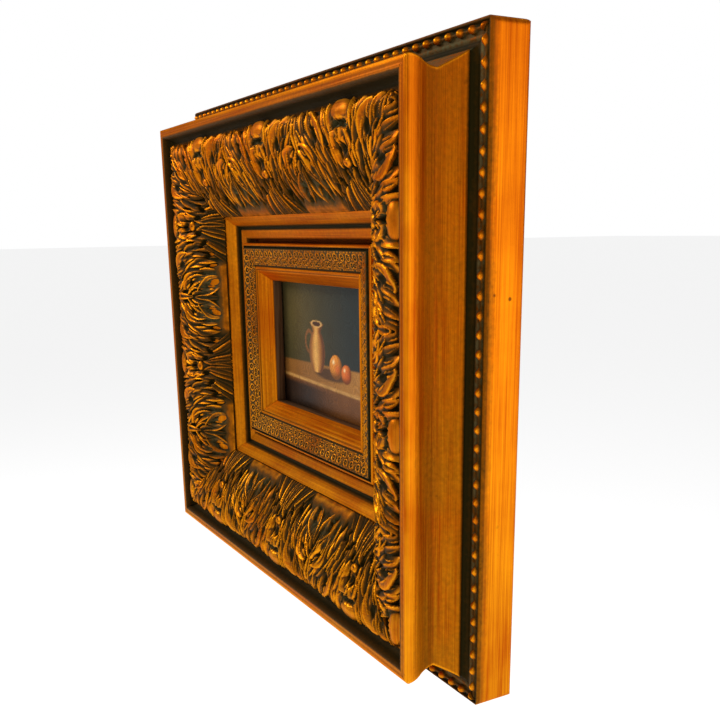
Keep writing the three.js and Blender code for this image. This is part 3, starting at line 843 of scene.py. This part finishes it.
# %% [markdown]
# ## Gilding, old and handled
#
# The frame is finished in gold over a red-brown ground, then toned: dark wax in the hollows, grey-green dust
# in the middle depths, and bright metal where hands and cloths rub. The colour also carries painted light:
# painted shade darkens the hollows along with the wax, painted highlights brighten the raised edges along
# with the rubbed gold, and the gold is painted yellower towards the bottom of the frame. The usual ways to
# find hollows in a shader are a pointiness node or an ambient occlusion node, but both depend on the mesh or
# the light. Here each vertex already knows how deep it lies, because the carving is a formula, so the
# material only reads those stored numbers and breaks them up with noise.

# %% Helpers for materials


def new_material(name):
    """A material with an empty node tree but for its output and a Principled shader."""
    material = bpy.data.materials.new(name)
    material.use_nodes = True
    tree = material.node_tree
    tree.nodes.clear()
    shader = tree.nodes.new("ShaderNodeBsdfPrincipled")
    output = tree.nodes.new("ShaderNodeOutputMaterial")
    tree.links.new(shader.outputs["BSDF"], output.inputs["Surface"])
    return material, tree, shader


def feed(tree, socket, value):
    """Links an output to a socket, or sets the socket to a plain value."""
    if isinstance(value, bpy.types.NodeSocket):
        tree.links.new(value, socket)
    else:
        socket.default_value = value


def stored(tree, name):
    """A number stored on the vertices."""
    node = tree.nodes.new("ShaderNodeAttribute")
    node.attribute_name = name
    return node.outputs["Fac"]


def maths(tree, operation, a, b=0.0, c=0.0, clamp=False):
    """One arithmetic node."""
    node = tree.nodes.new("ShaderNodeMath")
    node.operation = operation
    node.use_clamp = clamp
    for socket, value in zip(node.inputs, (a, b, c)):
        feed(tree, socket, value)
    return node.outputs[0]


def blend(tree, share, under, upper, mode="MIX"):
    """A colour mixed from two by `share`."""
    node = tree.nodes.new("ShaderNodeMix")
    node.data_type = "RGBA"
    node.blend_type = mode
    feed(tree, node.inputs[0], share)
    for socket, value in ((node.inputs[6], under), (node.inputs[7], upper)):
        feed(tree, socket, (*value, 1.0) if isinstance(value, tuple) and len(value) == 3 else value)
    return node.outputs[2]


def noise(tree, vector, scale, detail=4.0, roughness=0.55):
    """Soft noise between 0 and 1 at points of `vector`."""
    node = tree.nodes.new("ShaderNodeTexNoise")
    feed(tree, node.inputs["Vector"], vector)
    node.inputs["Scale"].default_value = scale
    node.inputs["Detail"].default_value = detail
    node.inputs["Roughness"].default_value = roughness
    return node.outputs["Fac"]


def stretched(tree, vector, scale):
    """Coordinates multiplied axis by axis."""
    node = tree.nodes.new("ShaderNodeMapping")
    feed(tree, node.inputs["Vector"], vector)
    node.inputs["Scale"].default_value = scale
    return node.outputs["Vector"]


def ramp(tree, value, low, high):
    """0 below `low`, 1 above `high`, straight between."""
    node = tree.nodes.new("ShaderNodeMapRange")
    feed(tree, node.inputs["Value"], value)
    node.inputs["From Min"].default_value = low
    node.inputs["From Max"].default_value = high
    return node.outputs["Result"]


# %% Old gilding
LOWER_LIGHT_GOLD = (0.80, 0.295, 0.005)
RUBBED_GOLD_AND_HIGHLIGHT = (0.98, 0.37, 0.008)
BROWN_WAX_AND_SHADE = (0.105, 0.034, 0.0010)
BLACK_SHADE_AND_WAX = (0.011, 0.0085, 0.0014)
GREEN_DUST = (0.10, 0.090, 0.038)
WORN_GROUND = (0.050, 0.021, 0.010)
RED_SPECK = (0.05, 0.010, 0.003)
WOOD_GRAIN = ((0.085, 0.040, 0.017), (0.19, 0.098, 0.044))


def old_gilding(name, bright, deep, metal):
    """Gold with lengthwise streaks, brown wax and painted shade in the hollows, painted highlights with the
    rubbed gold on the edges, painted yellower light low down, dust, worn ground and bare wood behind.
    """
    material, tree, shader = new_material(name)
    run = tree.nodes.new("ShaderNodeUVMap")
    run.uv_map = "run"
    run = run.outputs["UV"]
    place_in_object = tree.nodes.new("ShaderNodeTexCoord").outputs["Object"]
    dirt, crest, dust = (stored(tree, key) for key in ("dirt", "crest", "dust"))
    worn, bare = stored(tree, "worn"), stored(tree, "bare")

    streaks = noise(tree, stretched(tree, run, (16, 1500, 1)), 1.0, 3.0)
    long_streaks = noise(tree, stretched(tree, run, (9, 260, 1)), 1.0, 3.0)
    clouds = noise(tree, place_in_object, 24.0)
    fine = noise(tree, place_in_object, 520.0, 3.0)

    tone = maths(tree, "MULTIPLY_ADD", streaks, 0.9, maths(tree, "MULTIPLY", long_streaks, 0.6))
    tone = maths(tree, "MULTIPLY_ADD", clouds, 0.6, tone)
    # painted light: the gold is painted yellower towards the bottom of the frame
    height_on_wall = tree.nodes.new("ShaderNodeSeparateXYZ")
    feed(tree, height_on_wall.inputs[0], place_in_object)
    lower = ramp(tree, height_on_wall.outputs["Z"], 0.03, -0.24)
    leaf = blend(tree, lower, bright, LOWER_LIGHT_GOLD)
    colour = blend(tree, ramp(tree, tone, 0.82, 1.30), deep, leaf)
    # raised edges turn bright: rubbed gold with a painted highlight; the places beside them darken as painted
    # shade
    high = maths(tree, "MULTIPLY", maths(tree, "MAXIMUM", crest, 0.0), ramp(tree, clouds, 0.30, 0.62))
    low = maths(tree, "MAXIMUM", maths(tree, "MULTIPLY", crest, -1.0), 0.0)
    colour = blend(tree, maths(tree, "MULTIPLY", high, 0.9, clamp=True), colour, RUBBED_GOLD_AND_HIGHLIGHT)

    # the stored darkening, old dirt and wax together with painted shade, turns the colour brown and then
    # black
    grime_and_shade = maths(tree, "MULTIPLY_ADD", low, 0.6, maths(tree, "MULTIPLY_ADD", high, -0.5, dirt))
    broken = maths(tree, "MULTIPLY_ADD", fine, 0.5, maths(tree, "MULTIPLY_ADD", clouds, 0.7, -0.6))
    grime_and_shade = maths(tree, "MULTIPLY_ADD", broken, 0.55, grime_and_shade)
    colour = blend(tree, ramp(tree, grime_and_shade, 0.08, 0.5), colour, BROWN_WAX_AND_SHADE)
    colour = blend(tree, ramp(tree, grime_and_shade, 0.45, 0.95), colour, BLACK_SHADE_AND_WAX)

    flecks = ramp(tree, maths(tree, "MULTIPLY_ADD", clouds, 0.6, fine), 0.62, 0.92)
    powder = maths(tree, "MULTIPLY", dust, flecks)
    powder = maths(tree, "MULTIPLY", powder, maths(tree, "SUBTRACT", 1.0, high))
    colour = blend(tree, maths(tree, "MULTIPLY", powder, 0.9, clamp=True), colour, GREEN_DUST)
    rubbed = ramp(tree, maths(tree, "ADD", clouds, long_streaks), 0.75, 1.2)
    scuffed = maths(tree, "MULTIPLY", maths(tree, "MULTIPLY", worn, rubbed), 0.8, clamp=True)
    colour = blend(tree, scuffed, colour, WORN_GROUND)

    speck = tree.nodes.new("ShaderNodeTexVoronoi")
    feed(tree, speck.inputs["Vector"], place_in_object)
    speck.inputs["Scale"].default_value = 90.0
    spots = ramp(tree, speck.outputs["Distance"], 0.10, 0.05)
    spots = maths(tree, "MULTIPLY", spots, ramp(tree, clouds, 0.52, 0.6))
    colour = blend(tree, maths(tree, "MULTIPLY", spots, 0.8), colour, RED_SPECK)

    grain = noise(tree, stretched(tree, run, (30, 700, 1)), 1.0, 5.0)
    wood = blend(tree, ramp(tree, grain, 0.35, 0.7), *WOOD_GRAIN)
    colour = blend(tree, bare, colour, wood)
    tree.links.new(colour, shader.inputs["Base Color"])
    shader.inputs["Specular IOR Level"].default_value = 0.15
    shader.inputs["Specular Tint"].default_value = (1.0, 0.62, 0.18, 1.0)

    clean = maths(tree, "SUBTRACT", 1.0, maths(tree, "MAXIMUM", ramp(tree, grime_and_shade, 0.1, 0.7), scuffed))
    gilded = maths(tree, "SUBTRACT", 1.0, maths(tree, "MAXIMUM", bare, powder))
    clean = maths(tree, "MULTIPLY", clean, gilded, clamp=True)
    tree.links.new(maths(tree, "MULTIPLY", clean, metal), shader.inputs["Metallic"])
    dull = maths(tree, "MULTIPLY_ADD", clean, -0.30, 0.62)
    tree.links.new(maths(tree, "MULTIPLY_ADD", streaks, 0.14, dull), shader.inputs["Roughness"])

    bump = tree.nodes.new("ShaderNodeBump")
    bump.inputs["Strength"].default_value = 0.5
    bump.inputs["Distance"].default_value = 0.00025
    surface = maths(tree, "MULTIPLY_ADD", streaks, 0.5, maths(tree, "MULTIPLY", fine, 0.7))
    tree.links.new(surface, bump.inputs["Height"])
    tree.links.new(bump.outputs["Normal"], shader.inputs["Normal"])
    return material


outer_gilding = old_gilding("outer_gilding_finish", (0.80, 0.190, 0.0020), (0.42, 0.066, 0.0008), 0.8)
inner_gilding = old_gilding("inner_gilding_finish", (0.70, 0.165, 0.0018), (0.36, 0.058, 0.0008), 0.75)
for piece in outer_pieces:
    piece.data.materials.append(outer_gilding)
for piece in inner_pieces:
    piece.data.materials.append(inner_gilding)
print("gilding on", len(outer_pieces) + len(inner_pieces), "pieces")

# %% [markdown]
# ## Oil paint under varnish
#
# Oil paint is a matt colour under a clear, slightly uneven coat. The colour comes from the vertices; noise
# adds what a brush leaves between them, and the coat gives one soft sheen over light and dark alike.

# %% Oil paint
paint_finish, tree, shader = new_material("oil_paint")
paint_colour = tree.nodes.new("ShaderNodeAttribute")
paint_colour.attribute_name = "paint"
where = tree.nodes.new("ShaderNodeTexCoord").outputs["Object"]
bristle = noise(tree, stretched(tree, where, (700, 700, 1900)), 1.0, 4.0)
patches = noise(tree, where, 120.0)
shaded = blend(tree, ramp(tree, bristle, 0.3, 0.7), (0.78, 0.78, 0.78), (1.18, 1.18, 1.18))
coloured = blend(tree, 1.0, paint_colour.outputs["Color"], shaded, "MULTIPLY")
dark_patches = maths(tree, "MULTIPLY", ramp(tree, patches, 0.5, 0.75), 0.25)
coloured = blend(tree, dark_patches, coloured, (0.05, 0.028, 0.012))
tree.links.new(coloured, shader.inputs["Base Color"])
tree.links.new(maths(tree, "MULTIPLY_ADD", patches, 0.2, 0.32), shader.inputs["Roughness"])
shader.inputs["Specular IOR Level"].default_value = 0.12
shader.inputs["Coat Weight"].default_value = 0.06
shader.inputs["Coat Roughness"].default_value = 0.22
paint_bump = tree.nodes.new("ShaderNodeBump")
paint_bump.inputs["Strength"].default_value = 0.35
paint_bump.inputs["Distance"].default_value = 0.0002
tree.links.new(bristle, paint_bump.inputs["Height"])
tree.links.new(paint_bump.outputs["Normal"], shader.inputs["Normal"])
panel.data.materials.append(paint_finish)

# %% [markdown]
# ## A plain stage
#
# The frame hangs free, so the floor is a little way under it. The room is white to the camera but dimmer as
# a light, so that the hollows stay dark. Three soft lamps model the carving: one from the upper left in
# front, a weaker one from behind on the right, along the moulding's outer side, and a faint one in front on
# the right.

# %% Floor, room and lamps
FLOOR_DROP = 0.25
FLOOR_REACH = 30.0
ROOM_LIGHT = 0.26
floor_mesh = bpy.data.meshes.new("floor")
floor_z = cad_low.z - FLOOR_DROP
corner_signs = ((-1, -1), (1, -1), (1, 1), (-1, 1))
floor_corners = [(x * FLOOR_REACH, y * FLOOR_REACH, floor_z) for x, y in corner_signs]
floor_mesh.from_pydata(floor_corners, [], [(0, 1, 2, 3)])
floor = bpy.data.objects.new("floor", floor_mesh)
bpy.context.scene.collection.objects.link(floor)
floor_finish, tree, shader = new_material("floor_finish")
shader.inputs["Base Color"].default_value = (0.92, 0.92, 0.92, 1)
shader.inputs["Roughness"].default_value = 0.9
shader.inputs["Emission Color"].default_value = (1, 1, 1, 1)
shader.inputs["Emission Strength"].default_value = 0.66
floor_mesh.materials.append(floor_finish)

world = bpy.data.worlds.new("white_room")
bpy.context.scene.world = world
world.use_nodes = True
tree = world.node_tree
seen = tree.nodes.new("ShaderNodeLightPath").outputs["Is Camera Ray"]
background = tree.nodes["Background"]
strength = maths(tree, "MULTIPLY_ADD", seen, 1.0 - ROOM_LIGHT, ROOM_LIGHT)
tree.links.new(strength, background.inputs["Strength"])
background.inputs["Color"].default_value = (1, 1, 1, 1)


def softbox(name, place_at, aim, size, power):
    """A square area lamp that faces `aim`."""
    lamp = bpy.data.lights.new(name, "AREA")
    lamp.size = size
    lamp.energy = power
    box = bpy.data.objects.new(name, lamp)
    bpy.context.scene.collection.objects.link(box)
    box.location = place_at
    box.rotation_euler = (Vector(aim) - Vector(place_at)).to_track_quat("-Z", "Y").to_euler()
    return box


middle_of_frame = (0, -DEPTH * MM / 2, CENTRE_Z * MM)
softbox("key_lamp", (-0.55, -0.80, 0.55), middle_of_frame, 0.35, 6.5)
softbox("side_lamp", (0.78, 0.52, 0.02), middle_of_frame, 0.9, 3.4)
softbox("front_lamp", (0.75, -0.75, 0.1), middle_of_frame, 0.5, 1.4)

# %% [markdown]
# ## The camera
#
# The view is from the right, a little above, and close: near enough for the far edge to be clearly smaller
# than the near one. The lens axis points below the frame's middle, and a vertical shift brings the frame
# back into the picture, as with a view camera whose front is raised.

# %% Camera
CAMERA_AT = (448.2, -191.2 - DEPTH, 64.95 + CENTRE_Z)
AZIMUTH, PITCH, ROLL = math.radians(60.684), math.radians(14.901), math.radians(-0.817)
look = np.array([-math.sin(AZIMUTH) * math.cos(PITCH), math.cos(AZIMUTH) * math.cos(PITCH), -math.sin(PITCH)])
right = np.cross(look, (0, 0, 1))
right /= np.linalg.norm(right)
up = np.cross(right, look)
rolled_right = math.cos(ROLL) * right + math.sin(ROLL) * up
rolled_up = -math.sin(ROLL) * right + math.cos(ROLL) * up

lens = bpy.data.cameras.new("camera")
lens.sensor_width = 36.0
lens.lens = 45.34
lens.shift_y = 0.153
lens.clip_start = 0.01
camera = bpy.data.objects.new("camera", lens)
bpy.context.scene.collection.objects.link(camera)
turned = np.eye(4)
turned[:3, 0], turned[:3, 1], turned[:3, 2] = rolled_right, rolled_up, -look
turned[:3, 3] = np.array(CAMERA_AT) * MM
camera.matrix_world = Matrix([list(row) for row in turned])
bpy.context.scene.camera = camera
bpy.context.scene.view_settings.view_transform = "Standard"
print("camera", [round(value) for value in CAMERA_AT], "mm")
